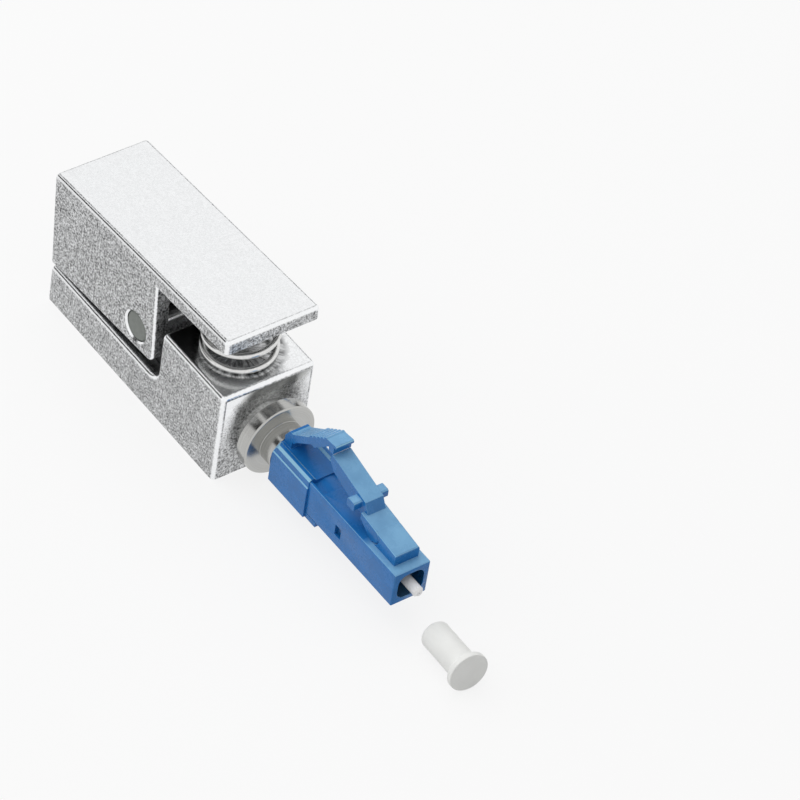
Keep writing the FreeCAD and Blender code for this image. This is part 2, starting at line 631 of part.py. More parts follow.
def latch():
    """Latch arm: rounded root, sloping shoulder, leaning step, rising arm with side lugs, and tail."""
    wide = LATCH_W / 2
    slim = ARM_W / 2
    foot_x = LATCH_ROOT_X - SHOULDER
    foot_z = latch_top(foot_x)
    crest_x = foot_x - STEP_RUN
    tail_x = LATCH_ROOT_X - LATCH_REACH
    tail_z = FRONT_TOP + TAIL_TOP
    under = foot_z - SHOULDER_T
    root = rod_y(KNUCKLE_R, LATCH_ROOT_X, LATCH_ROOT_Z, -wide, wide)
    root = root.makeFillet(LATCH_ROUND, [e for e in root.Edges if isinstance(e.Curve, Part.Circle)])
    shoulder = slab_xz([
        (LATCH_ROOT_X, LATCH_ROOT_Z - KNUCKLE_R), (LATCH_ROOT_X, latch_top(LATCH_ROOT_X)),
        (crest_x, latch_top(crest_x)), (crest_x, under), (LATCH_ROOT_X - WEB_RUN, LATCH_ROOT_Z - WEB_DROP),
    ], -wide, wide)
    shoulder = shoulder.makeFillet(LATCH_ROUND, side_tops(shoulder, wide))
    heel = (tail_x + HEEL_RUN, tail_z - HEEL_T)
    middle = ((crest_x + heel[0]) / 2, (under + heel[1]) / 2 - ARM_SAG)
    arm = slab_xz([
        (foot_x, foot_z), (crest_x, foot_z + STEP_RISE), (tail_x, tail_z),
        (tail_x - TAIL_LEAN, tail_z - TAIL_T), heel, middle, (crest_x, under), (foot_x, under),
    ], -slim, slim)
    return root.fuse(shoulder).fuse(arm).fuse(side_lugs()).removeSplitter()


def side_lugs():
    """Rounded cross bar whose two ends snap behind the port's catches."""
    x1 = LATCH_ROOT_X - LUG_SET
    z0 = FRONT_TOP + LUG_LIFT
    bar = box(x1 - LUG_RUN, x1, -LUG_W / 2, LUG_W / 2, z0, z0 + LUG_H)
    return bar.makeFillet(LUG_ROUND, edges_along(bar, Y_AXIS))


def trigger():
    """Anti-snag trigger: rounded root, slender neck, ridged slope, and a tip with a lip and a foot."""
    half = TRIGGER_W / 2
    tip_x = TRIGGER_X + TRIGGER_REACH
    tip_z = TRIGGER_Z + TIP_RISE
    start = V(TRIGGER_X, 0, TRIGGER_Z + TRIGGER_KNUCKLE_R)
    crest = V(tip_x - TIP_TOP_RUN, 0, tip_z - RIDGE)
    slope = crest.sub(start)
    inward = V(slope.z, 0, -slope.x).normalize()
    neck_end = start + slope * NECK_SHARE
    under_neck = neck_end + inward * NECK_T
    under_grip = start + slope * (NECK_SHARE + 0.06) + inward * GRIP_T
    under_crest = crest + slope * -0.025 + inward * GRIP_END_T
    foot_x = tip_x - TIP_FOOT_SET
    foot_z = tip_z - TIP_FOOT_DROP
    top = ridged_slope(neck_end, crest)
    outline = [(TRIGGER_X, TRIGGER_Z - TRIGGER_KNUCKLE_R), (under_neck.x, under_neck.z)]
    outline += [(under_grip.x, under_grip.z), (under_crest.x, under_crest.z)]
    outline += [(foot_x - TIP_FOOT, foot_z), (foot_x, foot_z), (foot_x, tip_z - TIP_T)]
    outline += [(tip_x, tip_z - TIP_T), (tip_x, tip_z - EDGE_SOFT), (tip_x - EDGE_SOFT, tip_z)]
    outline += [(p.x, p.z) for p in reversed(top)] + [(start.x, start.z)]
    arm = slab_xz(outline, -half, half)
    return arm.fuse(rod_y(TRIGGER_KNUCKLE_R, TRIGGER_X, TRIGGER_Z, -half, half)).removeSplitter()


def ridged_slope(low, high):
    """Outline points of the grip's ridges from the neck's end up to the tip."""
    run = high.sub(low)
    outward = V(-run.z, 0, run.x).normalize()
    points = []
    for n in range(RIDGES):
        foot = low + run * (n / RIDGES)
        crown = low + run * ((n + 0.35) / RIDGES) + outward * RIDGE
        shoulder = low + run * ((n + 0.8) / RIDGES) + outward * RIDGE
        points += [foot, crown, shoulder]
    return points + [high]


# ================================================================ ferrule group
def ferrule():
    """Ceramic ferrule with a bevelled tip, a fibre hole and a slim rear spigot."""
    c = FERRULE_CHAMFER
    profile = [
        (FLANGE_X - SPIGOT, FERRULE_HOLE_R), (FLANGE_X - SPIGOT, SPIGOT_R), (FLANGE_X, SPIGOT_R),
        (FLANGE_X, FERRULE_R), (FERRULE_TIP_X - c, FERRULE_R), (FERRULE_TIP_X, FERRULE_R - c),
        (FERRULE_TIP_X, FERRULE_HOLE_R),
    ]
    return turned_x(profile)


def ferrule_holder():
    """Metal holder round the ferrule's rear, with a spring shoulder and a hollow tail."""
    tail_x = HOLDER_X - HOLDER_TAIL
    bore = GUIDE_R + SLIP
    socket = SPIGOT_R + PRESSED
    profile = [
        (tail_x, bore), (tail_x, HOLDER_TAIL_R), (HOLDER_X, HOLDER_TAIL_R), (HOLDER_X, HOLDER_R),
        (FLANGE_X, HOLDER_R), (FLANGE_X, socket), (FLANGE_X - SPIGOT, socket),
        (FLANGE_X - SPIGOT, GUIDE_BORE_R), (HOLDER_X - 0.05, bore),
    ]
    return turned_x(profile)


def spring_stop():
    """Sleeve that closes the spring chamber, held by a barb in each side window."""
    x1 = BODY_END_X + WINDOW_X + WINDOW / 2 - SEAT_GAP
    x0 = BODY_END_X - BARREL + SEAT_GAP
    sleeve = rod_x(STOP_R, x0, x1)
    barb_x = BODY_END_X + WINDOW_X - WINDOW / 2 + SEAT_GAP
    barb_h = WINDOW_H / 2 - SEAT_GAP
    reach = CHAMBER_R + STOP_BARB
    barb_z = FIBRE_Z - WINDOW_DROP
    barbs = box(barb_x, x1, -reach, reach, barb_z - barb_h, barb_z + barb_h)
    return sleeve.fuse(barbs).cut(rod_x(GUIDE_R + SLIP, x0 - 1, x1 + 1))


def ferrule_spring():
    """Small compression spring between the stop and the ferrule holder."""
    x0 = BODY_END_X + WINDOW_X + WINDOW / 2 - SEAT_GAP
    mean_r = (COIL_OD - COIL_WIRE) / 2
    return coil(V(x0, 0, FIBRE_Z), HOLDER_X - x0, mean_r, COIL_WIRE / 2, COIL_TURNS, True)


# ================================================================ dust cap
def dust_cap():
    """Soft cap with a blind bore, lying on the bench on its flange's rim and its open end."""
    x_end = CAP_LENGTH
    profile = [
        (0, CAP_BORE_R), (0, CAP_R), (x_end - CAP_FLANGE - CAP_FLARE, CAP_R),
        (x_end - CAP_FLANGE, CAP_FLANGE_R - 0.35), (x_end - CAP_FLANGE, CAP_FLANGE_R),
        (x_end, CAP_FLANGE_R), (x_end, 0), (CAP_BORE, 0), (CAP_BORE, CAP_BORE_R),
    ]
    cap = turned_x(profile, 0)
    rings = [e for e in cap.Edges if isinstance(e.Curve, Part.Circle) and near(e.Curve.Center.x, 0)]
    cap = cap.makeFillet(CAP_ROUND, [e for e in rings if near(e.Curve.Radius, CAP_R)])
    lean = math.atan2(CAP_FLANGE_R - CAP_R, CAP_LENGTH - CAP_FLANGE)
    cap.rotate(V(0, 0, 0), Y_AXIS, -math.degrees(lean))
    lowest = cap.BoundBox.ZMin
    cap.rotate(V(0, 0, 0), Z_AXIS, -CAP_TURN)
    cap.translate(V(PLUG_FRONT_X + CAP_GAP, CAP_SIDE, -lowest))
    return cap


PIECES = {
    "housing": housing, "lever": lever, "hinge_pin": hinge_pin, "lever_spring": lever_spring,
    "lower_pad": lower_pad, "upper_pad": upper_pad, "set_screw": set_screw, "collar": collar,
    "guide_funnel": guide_funnel, "guide_tube": guide_tube, "rear_body": rear_body, "trigger": trigger,
    "front_housing": front_housing, "latch": latch, "spring_stop": spring_stop, "ferrule": ferrule,
    "ferrule_holder": ferrule_holder, "ferrule_spring": ferrule_spring, "dust_cap": dust_cap,
}


def main():
    """Write each piece to its own STEP file."""
    os.makedirs("parts", exist_ok=True)
    for name, make in PIECES.items():
        shape = make()
        solids = shape.Solids
        print(name, "solids", len(solids), "valid", shape.isValid(), "volume", round(shape.Volume, 3))
        (solids[0] if len(solids) == 1 else shape).exportStep(os.path.join("parts", name + ".step"))


main()
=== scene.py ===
"""Finish and studio for a square clamp adapter that ends a bare optical fibre in an LC plug."""

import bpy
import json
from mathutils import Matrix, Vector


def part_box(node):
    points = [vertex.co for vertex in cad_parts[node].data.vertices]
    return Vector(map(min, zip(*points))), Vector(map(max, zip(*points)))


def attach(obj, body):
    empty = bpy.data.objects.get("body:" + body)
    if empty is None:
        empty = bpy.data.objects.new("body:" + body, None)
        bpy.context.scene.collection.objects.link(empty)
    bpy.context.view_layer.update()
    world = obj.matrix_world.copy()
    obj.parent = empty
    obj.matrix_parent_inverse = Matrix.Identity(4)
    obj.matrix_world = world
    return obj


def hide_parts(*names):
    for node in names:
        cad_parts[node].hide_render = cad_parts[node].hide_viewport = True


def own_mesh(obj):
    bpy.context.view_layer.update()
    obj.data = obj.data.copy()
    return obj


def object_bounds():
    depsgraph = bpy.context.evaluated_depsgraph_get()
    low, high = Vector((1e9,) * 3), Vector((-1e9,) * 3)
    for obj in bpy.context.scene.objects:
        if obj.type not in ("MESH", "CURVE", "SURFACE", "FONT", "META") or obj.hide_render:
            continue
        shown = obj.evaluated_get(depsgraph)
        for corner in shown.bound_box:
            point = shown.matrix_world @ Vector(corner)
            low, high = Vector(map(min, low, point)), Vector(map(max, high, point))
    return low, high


bl_info = {
    "name": "LC Fibre Adapter Finish",
    "version": (1, 0, 0),
    "blender": (4, 5, 0),
    "location": "3D View > Sidebar > Adapter",
    "description": "Dresses the pieces of a bare-fibre clamp adapter and sets up a small studio for them",
    "category": "Object",
}

import json
import math

import bmesh
import bpy
from mathutils import Matrix, Vector

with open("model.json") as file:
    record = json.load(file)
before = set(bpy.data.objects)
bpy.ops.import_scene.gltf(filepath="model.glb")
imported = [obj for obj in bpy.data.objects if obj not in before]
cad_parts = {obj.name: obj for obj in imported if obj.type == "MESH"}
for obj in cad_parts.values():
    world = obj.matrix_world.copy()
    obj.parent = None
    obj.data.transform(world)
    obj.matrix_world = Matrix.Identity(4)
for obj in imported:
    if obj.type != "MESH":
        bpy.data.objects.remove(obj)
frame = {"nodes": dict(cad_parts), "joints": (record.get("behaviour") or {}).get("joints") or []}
CAD_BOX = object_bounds()

MM = 0.001
FIBRE_Z = 6.0 * MM           # height of the fibre axis, round which the plug's parts are turned
PORT_HALF = 1.7              # half width of the plug's square port with its walls' inner faces, in mm
PORT_REACH = (20.9, 42.42)   # reach along X of the plug's bore, which is painted dark as shade, in mm
# Insides of the castings, painted dark as painted shade, in mm: half width, and (low, high) along X and Z.
LEVER_HOLLOW = (4.25, (-15.0, 15.6), (5.0, 17.9))
HOUSING_HOLLOW = (4.1, (-15.0, 4.3), (1.0, 12.0))
OPEN_BELOW = 13              # below this height in mm, a hollow's faces that look up are painted dark as shade too
SPRING_FOOT = (10.2, 12.2, 5.4)    # place along X, height and radius of the streaked ring painted dark as shade under the lever, in mm
REST_TILT = 3.8              # degrees, the lever's nose up at rest
THREAD_END = 5.75            # end of the screw hole's thread along Y, in mm
# Bending roots of the plug: node, joint, root's radius in mm, fall of its top in degrees, and the
# reach in mm within which edges stay crisp.
ROOTS = (
    ("trigger", "trigger_bend", 0.55, 0, 0.66),
    ("latch", "latch_bend", 0.92, 7.6, 1.04),
)
ROOT_GAP = 0.056             # the swollen root fills this much of its gap, in mm


# ---------------------------------------------------------------- node helpers
class Wire:
    """A node's socket that can stand in a formula."""

    def __init__(self, board, socket):
        self.board = board
        self.socket = socket

    def _work(self, operation, *values):
        return self.board.add("ShaderNodeMath", {"operation": operation}, dict(enumerate(values)))

    def __add__(self, other):
        return self._work("ADD", self, other)

    def __radd__(self, other):
        return self._work("ADD", other, self)

    def __sub__(self, other):
        return self._work("SUBTRACT", self, other)

    def __rsub__(self, other):
        return self._work("SUBTRACT", other, self)

    def __mul__(self, other):
        return self._work("MULTIPLY", self, other)

    def __rmul__(self, other):
        return self._work("MULTIPLY", other, self)

    def __truediv__(self, other):
        return self._work("DIVIDE", self, other)

    def __rtruediv__(self, other):
        return self._work("DIVIDE", other, self)

    def __pow__(self, other):
        return self._work("POWER", self, other)

    def __abs__(self):
        return self._work("ABSOLUTE", self)

    def clamp(self, low=0.0, high=1.0):
        return self._work("MINIMUM", self._work("MAXIMUM", self, low), high)

    def above(self, other):
        return self._work("MAXIMUM", self, other)

    def turn_from(self, other):
        return self._work("ARCTAN2", self, other)

    def wave(self, operation):
        return self._work(operation, self)


class Board:
    """A node tree, with one way to add any node to it."""

    def __init__(self, tree):
        self.tree = tree

    def add(self, kind, settings=None, inputs=None, out=0):
        node = self.tree.nodes.new(kind)
        for name, value in (settings or {}).items():
            if name == "stops":
                self._ramp(node, value)
            else:
                setattr(node, name, value)
        for key, value in (inputs or {}).items():
            if isinstance(value, Wire):
                self.tree.links.new(value.socket, node.inputs[key])
            else:
                node.inputs[key].default_value = value
        return Wire(self, node.outputs[out]) if len(node.outputs) else node

    def also(self, wire, out):
        """Another output of the node that a wire leaves."""
        return Wire(self, wire.socket.node.outputs[out])

    @staticmethod
    def _ramp(node, stops):
        steps = node.color_ramp.elements
        while len(steps) > len(stops):
            steps.remove(steps[-1])
        while len(steps) < len(stops):
            steps.new(1.0)
        for step, (place, value) in zip(steps, stops):
            step.position = place
            step.color = (value, value, value, 1) if isinstance(value, (int, float)) else (*value, 1)

    def blend(self, factor, a, b):
        """Colours a and b mixed by a factor."""
        pair = [c if isinstance(c, Wire) else (*c[:3], 1) for c in (a, b)]
        return self.add("ShaderNodeMix", {"data_type": "RGBA"}, {0: factor, 6: pair[0], 7: pair[1]}, out=2)

    def noise(self, where, scale, detail=2.0, roughness=0.5):
        """Soft noise around 0.5, at a number of cells per unit of its place, which is mostly a metre."""
        return self.add("ShaderNodeTexNoise", {"noise_dimensions": "3D"},
                        {"Vector": where, "Scale": scale, "Detail": detail, "Roughness": roughness})

    def contrast(self, value, gain):
        """A value pushed away from 0.5 and kept between 0 and 1."""
        return ((value - 0.5) * gain + 0.5).clamp()

    def bump(self, height, distance, strength):
        """Surface relief from a height between 0 and 1, at a depth in metres."""
        return self.add("ShaderNodeBump", {},
                        {"Height": height, "Distance": distance, "Strength": strength})


def new_finish(name):
    """An empty material with its shader, its board and its object coordinates."""
    material = bpy.data.materials.new(name)
    material.use_nodes = True
    board = Board(material.node_tree)
    shader = material.node_tree.nodes["Principled BSDF"]
    place = board.add("ShaderNodeTexCoord", out="Object")
    return material, board, shader, place


def feed(board, shader, **values):
    """Sets or links sockets of a shader, with their names' spaces written as underscores."""
    for key, value in values.items():
        socket = shader.inputs[key.replace("_", " ")]
        if isinstance(value, Wire):
            board.tree.links.new(value.socket, socket)
        else:
            socket.default_value = value


def colour(value):
    """A property's colour as a plain tuple."""
    return tuple(value)[:3]


def shade(tone, factor, most=1e9):
    """A tone made darker or lighter by a factor, up to a most."""
    return tuple(min(c * factor, most) for c in tone)


# ---------------------------------------------------------------- finishes
def within(wire, low, high):
    """1 between two places in mm, and 0 outside them."""
    return ((wire - low * MM) * 1e6).clamp() * ((high * MM - wire) * 1e6).clamp()


def plated_casting(name, tone, grain_mm, hollow, seed=0.0, streaked_shaded_ring=None):
    """Satin-plated zinc: a fine sparkling grain on the sides, smoother on flat tops and roundings, which
    are painted lighter as painted highlight, and painted dark as shade in its hollow, a box of half width
    and of (low, high) along X and Z in mm. Round a spring's foot, with its place along X, its height and a
    radius in mm, it has a ring of radial streaks, painted darker overall as shade under the lever."""
    material, board, shader, place = new_finish(name)
    spot = board.add("ShaderNodeMapping", {},
                     {"Vector": place, "Location": (seed, seed * 0.7, seed * 1.3)})
    per_metre = 1000 / grain_mm
    grain = board.contrast(board.noise(spot, per_metre, 2.0, 0.75), 5.0)
    coarse = board.contrast(board.noise(spot, per_metre / 3, 1.0, 0.5), 2.6)
    drift = board.noise(spot, 90, 2.0, 0.5)
    flecks = (grain * 0.75 + coarse * 0.25).clamp()
    normal = board.add("ShaderNodeSeparateXYZ", {}, {0: board.also(place, "Normal")})
    up = board.also(normal, 2)
    steepest = abs(normal).above(abs(board.also(normal, 1))).above(abs(up))
    edge = ((1 - steepest) * 9 - 0.12).clamp()
    top = ((up - 0.93) * 20).clamp()
    # Flat tops and roundings get a lighter base colour, which is painted highlight, and calmer relief.
    painted_highlight_smooth_mask = edge.above(top * 0.9)
    flat = board.blend(flecks, shade(tone, 0.10), shade(tone, 1.85, 0.97))
    flat = board.blend((drift - 0.4).clamp() * 0.5, flat, shade(tone, 0.6))
    painted_highlight_tone = board.blend(flecks, shade(tone, 1.92), shade(tone, 2.0, 0.96))
    skin = board.blend(painted_highlight_smooth_mask, flat, painted_highlight_tone)
    half, span_x, span_z = hollow
    at = board.add("ShaderNodeSeparateXYZ", {}, {0: place})
    sideways = board.also(at, 1)
    height = board.also(at, 2)
    # The hollow's faces, and below a height also those that look up, are painted dark: painted shade.
    hollow_painted_shade = within(abs(sideways), 0, half) * within(at, *span_x) * within(height, *span_z)
    low_enough = ((OPEN_BELOW * MM - height) * 1e6).clamp()
    hollow_painted_shade = hollow_painted_shade * ((0.6 - up) * 8).clamp().above(low_enough) * ((0.8 - normal) * 8).clamp()
    if streaked_shaded_ring:
        centre, foot, radius = streaked_shaded_ring
        forward = at - centre * MM
        spread = (forward * forward + sideways * sideways + 1e-8) ** 0.5
        ray = board.add("ShaderNodeCombineXYZ", {},
                        {0: forward / spread, 1: sideways / spread, 2: spread * 60})
        streaks = board.contrast(board.noise(ray, 11, 2.0, 0.6), 4.0)
        # A ring of radial streaks round the spring's foot, painted darker overall as shade under the lever.
        painted_light_mask = ((radius * MM - spread) * 1800 + (streaks - 0.5) * 0.7).clamp()
        painted_light_mask = painted_light_mask * top * within(height, foot - 0.3, foot + 0.3)
        streaked_painted_shade = board.blend(streaks, shade(tone, 0.12), shade(tone, 1.3))
        skin = board.blend(painted_light_mask * 0.85, skin, streaked_painted_shade)
    feed(board, shader,
         Base_Color=board.blend(hollow_painted_shade * 0.9, skin, shade(tone, 0.06)),
         Metallic=1.0,
         Roughness=(0.34 + grain * 0.14) * (1 - edge * 0.55) * (1 - top * 0.55),
         Normal=board.bump(flecks * (1 - painted_highlight_smooth_mask * 0.9), 0.03 * MM, 0.7))
    return material


def turned_steel(name, tone, rings_mm=0.12, shine=0.13):
    """Turned and polished steel with faint rings round the fibre axis."""
    material, board, shader, place = new_finish(name)
    parts = board.add("ShaderNodeSeparateXYZ", {}, {0: place})
    y = board.also(parts, 1)
    z = board.also(parts, 2) - FIBRE_Z
    radius = (y * y + z * z) ** 0.5
    spot = board.add("ShaderNodeCombineXYZ", {}, {0: parts, 1: radius})
    rings = board.contrast(board.noise(spot, 1000 / rings_mm, 2.0, 0.6), 2.0)
    stain = board.noise(place, 500, 2.0, 0.6)
    feed(board, shader,
         Base_Color=board.blend(rings, shade(tone, 0.86), tone),
         Metallic=1.0,
         Roughness=shine + rings * 0.05 + stain * 0.08,
         Normal=board.bump(rings, 0.003 * MM, 0.5))
    return material


def drawn_wire(name, tone):
    """Polished spring wire with faint draw marks."""
    material, board, shader, place = new_finish(name)
    marks = board.noise(place, 5200, 2.0, 0.6)
    feed(board, shader,
         Base_Color=board.blend(board.contrast(marks, 2.0), shade(tone, 0.8), tone),
         Metallic=1.0,
         Roughness=0.16 + marks * 0.08)
    return material


def dull_metal(name, tone, rough=0.45):
    """Cut or tumbled metal with a dull even skin."""
    material, board, shader, place = new_finish(name)
    skin = board.contrast(board.noise(place, 2600, 3.0, 0.6), 1.8)
    feed(board, shader,
         Base_Color=board.blend(skin, shade(tone, 0.82), shade(tone, 1.15, 1)),
         Metallic=0.85,
         Roughness=rough + skin * 0.1,
         Normal=board.bump(skin, 0.006 * MM, 0.5))
    return material


def moulded_plastic(name, tone, rough=0.27, cloud=0.12, painted_light=0.0, painted_light_from=0.0):
    """Moulded plastic: a cloudy skin with a very fine texture. With painted light, its edges are painted
    pale as painted highlight, it is painted paler where it faces up in front of a place along X in mm, and
    painted dark as shade in the plug's bore."""
    material, board, shader, place = new_finish(name)
    clouds = board.noise(place, 420, 3.0, 0.55)
    skin = board.noise(place, 3800, 2.0, 0.6)
    light = tuple(min(c * (1 + cloud) + cloud * 0.03, 1) for c in tone)
    body = board.blend(board.contrast(clouds, 2.2), shade(tone, 1 - cloud), light)
    if painted_light:
        # Edges, and faces that look up ahead of a place along X, are painted pale: painted highlight and
        # painted top light.
        painted_pale_tone = tuple(c * 0.4 + part for c, part in zip(tone, (0.40, 0.66, 0.68)))
        normal = board.add("ShaderNodeSeparateXYZ", {}, {0: board.also(place, "Normal")})
        up = board.also(normal, 2)
        steepest = abs(normal).above(abs(board.also(normal, 1))).above(abs(up))
        up = up.clamp()
        painted_light_mask = ((1 - steepest) * 8 - 1.2).clamp() * (up ** 0.5) * 0.8
        at = board.add("ShaderNodeSeparateXYZ", {}, {0: place})
        ahead = at - painted_light_from * MM
        lit = up * up * (0.55 + clouds * 0.9) * (ahead * 900).clamp() * painted_light
        body = board.blend(painted_light_mask.above(lit.clamp()), body, painted_pale_tone)
        # The plug's bore is painted dark: painted shade.
        painted_bore_shade = within(abs(board.also(at, 1)), 0, PORT_HALF) * within(at, *PORT_REACH)
        painted_bore_shade = painted_bore_shade * within(abs(board.also(at, 2) - FIBRE_Z), 0, PORT_HALF)
        body = board.blend(painted_bore_shade * 0.8, body, shade(tone, 0.15))
    feed(board, shader,
         Base_Color=body,
         Specular_IOR_Level=0.3,
         Roughness=rough + (clouds - 0.5) * 0.22 + (skin - 0.5) * 0.1,
         Normal=board.bump(skin * 0.5 + clouds, 0.006 * MM, 0.6))
    return material


def rubber_pad(name, tone):
    """Matt rubber with a faint ground texture."""
    material, board, shader, place = new_finish(name)
    skin = board.contrast(board.noise(place, 3000, 3.0, 0.7), 1.6)
    feed(board, shader,
         Base_Color=board.blend(skin, shade(tone, 0.75), shade(tone, 1.3)),
         Roughness=0.62 + skin * 0.2,
         Normal=board.bump(skin, 0.01 * MM, 0.6))
    return material


def glazed_ceramic(name, tone):
    """Ground and polished zirconia."""
    material, board, shader, place = new_finish(name)
    skin = board.noise(place, 900, 2.0, 0.5)
    feed(board, shader,
         Base_Color=board.blend(skin, shade(tone, 0.96), tone),
         Roughness=0.12 + skin * 0.08,
         Coat_Weight=0.3)
    return material


# ---------------------------------------------------------------- mesh helpers
def link(name, mesh, body, slot, *nodes):
    """A new piece for a mesh, riding on a body and standing for CAD nodes."""
    piece = bpy.data.objects.new(name, mesh)
    bpy.context.scene.collection.objects.link(piece)
    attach(piece, body)
    if nodes:
        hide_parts(*nodes)
    return piece


def merged(node):
    """A copy of a CAD node's mesh with its loose triangles joined into clean faces."""
    shape = bmesh.new()
    shape.from_mesh(frame["nodes"][node].data)
    bmesh.ops.remove_doubles(shape, verts=shape.verts, dist=2e-7)
    bmesh.ops.dissolve_limit(shape, angle_limit=math.radians(0.6), verts=shape.verts, edges=shape.edges)
    return shape


def soften(shape, angle=28.0, keep_sharp=None):
    """Marks the edges to be rounded, and sets smooth shading everywhere."""
    weights = shape.edges.layers.float.new("bevel_weight_edge")
    for face in shape.faces:
        face.smooth = True
    for edge in shape.edges:
        sharp = len(edge.link_faces) == 2 and edge.calc_face_angle(0) > math.radians(angle)
        edge.smooth = not sharp
        if sharp and not (keep_sharp and keep_sharp(edge)):
            edge[weights] = 1.0


def to_mesh(shape, name, material):
    """The finished mesh of a bmesh."""
    mesh = bpy.data.meshes.new(name)
    shape.to_mesh(mesh)
    shape.free()
    mesh.materials.append(material)
    return mesh


def round_edges(piece, width_mm):
    """A small rounding on the marked edges."""
    bevel = piece.modifiers.new("edge_rounding", "BEVEL")
    bevel.limit_method = "WEIGHT"
    bevel.width = width_mm * MM
    bevel.segments = 3
    bevel.use_clamp_overlap = True
    bevel.harden_normals = True
    bevel.miter_outer = "MITER_ARC"


def dressed(node, body, slot, material, width_mm, keep_sharp=None, angle=28.0, swell=None):
    """A CAD node's form with rounded edges and a finish, standing for the node."""
    shape = merged(node)
    if swell:
        swell(shape)
    soften(shape, angle, keep_sharp)
    piece = link(node + "_finished", to_mesh(shape, node + "_finished", material), body, slot, node)
    if width_mm > 0:
        round_edges(piece, width_mm)
    return piece


def swollen_root(centre, radius_mm, gap_mm, fall=0.0):
    """Fills the fine gap round a moulded root, flush with the top face, which falls by an angle."""
    x, z = centre
    up = Vector((math.sin(math.radians(fall)), 0, math.cos(math.radians(fall))))

    def swell(shape):
        for vert in shape.verts:
            away = Vector((vert.co.x - x, 0, vert.co.z - z))
            if abs(away.length - radius_mm * MM) < 0.004 * MM:
                vert.co += away.normalized() * gap_mm * MM
                proud = (vert.co - Vector((x, vert.co.y, z))).dot(up) - radius_mm * MM
                vert.co -= up * max(proud, 0)
    return swell


def turned(name, profile, material, centre, steps=144):
    """A profile of (along, radius) points in mm, from axis to axis, turned about a line along Y through
    a place along X and Z."""
    shape = bmesh.new()
    rings = []
    for along, radius in profile:
        ring = []
        for i in range(steps if radius else 1):
            turn = 2 * math.pi * i / steps
            across = centre[0] + radius * math.cos(turn) * MM
            height = centre[1] + radius * math.sin(turn) * MM
            ring.append(shape.verts.new((across, along * MM, height)))
        rings.append(ring)
    for low, high in zip(rings, rings[1:]):
        for i in range(steps):
            j = (i + 1) % steps
            corners = [low[i % len(low)], low[j % len(low)], high[j % len(high)], high[i % len(high)]]
            shape.faces.new(list(dict.fromkeys(corners)))
    bmesh.ops.remove_doubles(shape, verts=shape.verts, dist=1e-8)
    bmesh.ops.recalc_face_normals(shape, faces=shape.faces)
    soften(shape)
    return to_mesh(shape, name, material)


# ---------------------------------------------------------------- wound wire
WIRE_INPUTS = (
    ("Turns", "NodeSocketFloat", 3.0),
    ("Mean Radius", "NodeSocketFloat", 0.004),
    ("Wire Radius", "NodeSocketFloat", 0.0003),
    ("Height", "NodeSocketFloat", 0.005),
    ("Lean", "NodeSocketFloat", 0.0),
    ("Closed Turns", "NodeSocketFloat", 0.5),
    ("Start Angle", "NodeSocketFloat", 0.0),
    ("Steps", "NodeSocketInt", 160),
    ("Sides", "NodeSocketInt", 20),
    ("Material", "NodeSocketMaterial", None),
)


def wound_wire_tree():
    """Geometry Nodes for a wire wound about Z, with flat closed ends and a leaning top."""
    tree = bpy.data.node_groups.new("wound_wire", "GeometryNodeTree")
    for name, kind, default in WIRE_INPUTS:
        socket = tree.interface.new_socket(name, in_out="INPUT", socket_type=kind)
        if default is not None:
            socket.default_value = default
    tree.interface.new_socket("Mesh", in_out="OUTPUT", socket_type="NodeSocketGeometry")
    board = Board(tree)
    turns = board.add("NodeGroupInput")
    mean, wire, height, lean, closed, start, steps, sides, finish = [
        board.also(turns, n) for n in range(1, len(WIRE_INPUTS))]
    index = board.add("GeometryNodeInputIndex")
    along = index / (steps - 1)
    dead = closed / turns
    share = ((along - dead) / (1 - dead * 2)).clamp()
    rise = share * share * (3 - share * 2) * 0.25 + share * 0.75
    angle = along * turns * (2 * math.pi) + start
    a = mean * angle.wave("COSINE")
    b = mean * angle.wave("SINE")
    lift = wire + (height - wire * 2 + lean * a) * rise
    place = board.add("ShaderNodeCombineXYZ", {}, {0: a, 1: b, 2: lift})
    line = board.add("GeometryNodeMeshLine", {"mode": "OFFSET"}, {"Count": steps})
    path = board.add("GeometryNodeSetPosition", {}, {"Geometry": line, "Position": place})
    path = board.add("GeometryNodeMeshToCurve", {}, {"Mesh": path})
    ring = board.add("GeometryNodeCurvePrimitiveCircle", {"mode": "RADIUS"},
                     {"Resolution": sides, "Radius": wire})
    tube = board.add("GeometryNodeCurveToMesh", {},
                     {"Curve": path, "Profile Curve": ring, "Fill Caps": True})
    tube = board.add("GeometryNodeSetShadeSmooth", {}, {"Geometry": tube})
    tube = board.add("GeometryNodeRealizeInstances", {}, {"Geometry": tube})
    tube = board.add("GeometryNodeSetMaterial", {}, {"Geometry": tube, "Material": finish})
    board.add("NodeGroupOutput", {}, {0: tube})
    return tree


def wound_wire(name, tree, place, **values):
    """The plain mesh of a wound wire, put in place by a matrix."""
    holder = bpy.data.objects.new(name + "_maker", bpy.data.meshes.new(name + "_maker"))
    bpy.context.scene.collection.objects.link(holder)
    maker = holder.modifiers.new("wound_wire", "NODES")
    maker.node_group = tree
    for item in tree.interface.items_tree:
        key = item.name.replace(" ", "_").lower()
        if item.item_type == "SOCKET" and item.in_out == "INPUT" and key in values:
            maker[item.identifier] = values[key]
    bpy.context.view_layer.update()
    shown = holder.evaluated_get(bpy.context.evaluated_depsgraph_get())
    mesh = bpy.data.meshes.new_from_object(shown)
    holder.modifiers.remove(maker)
    bpy.data.objects.remove(holder)
    if not len(mesh.polygons):
        raise RuntimeError("the wound wire came out empty: " + name)
    mesh.name = name
    mesh.transform(place)
    return mesh


